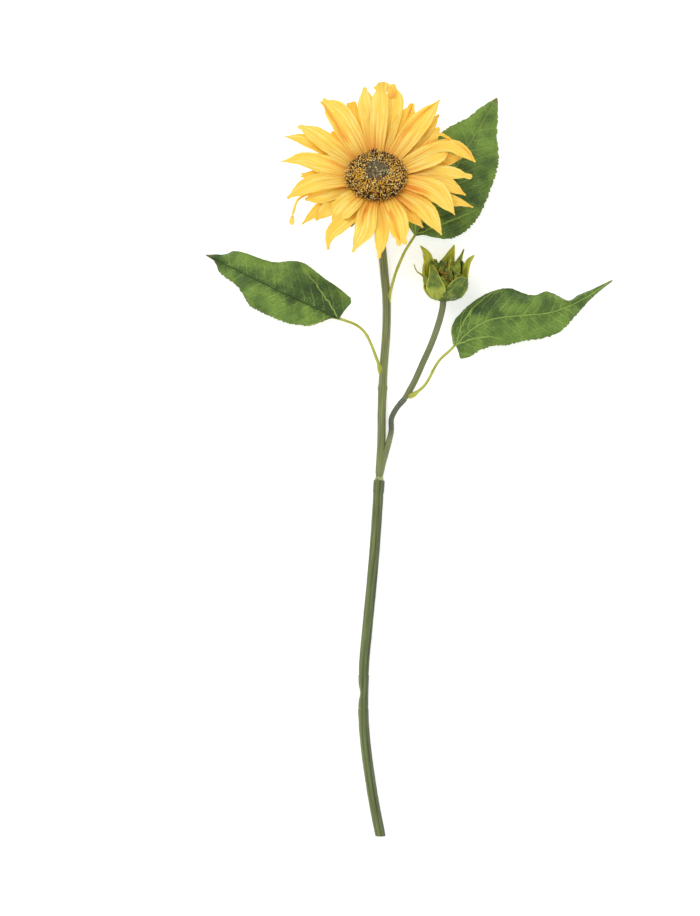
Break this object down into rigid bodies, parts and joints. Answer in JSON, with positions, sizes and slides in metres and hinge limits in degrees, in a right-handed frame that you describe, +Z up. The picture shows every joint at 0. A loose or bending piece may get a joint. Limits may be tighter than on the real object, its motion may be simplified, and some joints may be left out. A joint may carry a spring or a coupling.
{
  "type": "artificial sunflower spray",
  "caption": "Artificial sunflower spray lying on its back: a cut ribbed stem with an open yellow bloom, a side bud and leaves on thin stalks.",
  "frame": {"origin": "middle of the base of the box around the spray, on the surface that it lies on", "axes": "+Y along the stem from the cut end towards the bloom, +Z up, the way the bloom faces, +X to the side of the bud"},
  "size_m": [0.3788, 0.6977, 0.0828],
  "materials": {
    "lower_stem_plastic": "ribbed moulded polyethylene, dull dark green with paler streaks",
    "upper_stem_plastic": "moulded polyethylene, dull olive green",
    "branch_plastic": "smooth dark green plastic sleeving with a soft gloss",
    "stalk_plastic": "thin yellow-green moulded plastic",
    "leaf_fabric": "printed polyester cloth, mid green with paler veins",
    "petal_fabric": "dyed polyester cloth, golden yellow, deeper orange at the foot",
    "calyx_fabric": "dyed polyester cloth and moulded cup, dark green",
    "disc_flock": "flocked foam, brown and black with ochre flecks and a grey-green middle",
    "bud_fabric": "dyed polyester cloth, yellow-green to dark green"
  },
  "bodies": {
    "root": {"lower_stem": "lower_stem_plastic", "upper_stem": "upper_stem_plastic", "bud_branch": "branch_plastic", "bud_stem": "upper_stem_plastic", "petiole_left": "stalk_plastic", "petiole_right": "stalk_plastic", "petiole_top": "stalk_plastic", "leaf_left": "leaf_fabric", "leaf_right": "leaf_fabric", "leaf_top": "leaf_fabric", "head_cup": "calyx_fabric", "head_sepals": "calyx_fabric", "petals_back": "petal_fabric", "petals_middle": "petal_fabric", "petals_front": "petal_fabric", "head_disc": "disc_flock", "bud_cup": "bud_fabric", "bud_core": "disc_flock"}
  },
  "joints": []
}
